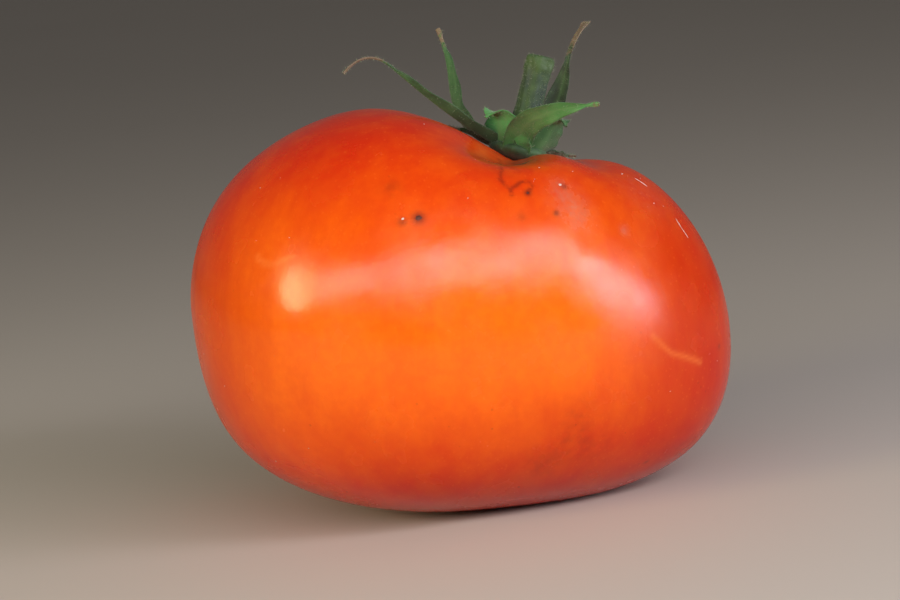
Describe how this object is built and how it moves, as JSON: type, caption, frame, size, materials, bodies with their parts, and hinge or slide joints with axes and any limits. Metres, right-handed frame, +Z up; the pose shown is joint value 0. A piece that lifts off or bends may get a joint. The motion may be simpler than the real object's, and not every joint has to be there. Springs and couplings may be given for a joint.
{
  "type": "tomato",
  "caption": "Whole lopsided beefsteak tomato with its green calyx and a short broken stem, resting on its blossom end.",
  "frame": {"origin": "in the flat spot that the fruit rests on, below the middle of its width", "axes": "+Z up, +X along the longest side towards the lower shoulder, -Y towards the front, where the deepest groove is"},
  "size_m": [0.0876, 0.0784, 0.0765],
  "materials": {
    "skin": "waxy, softly shining",
    "sepal": "hairy, dull",
    "stem": "hairy, dull"
  },
  "bodies": {
    "root": {"fruit": "skin", "calyx": "sepal", "stem": "stem"}
  },
  "joints": []
}
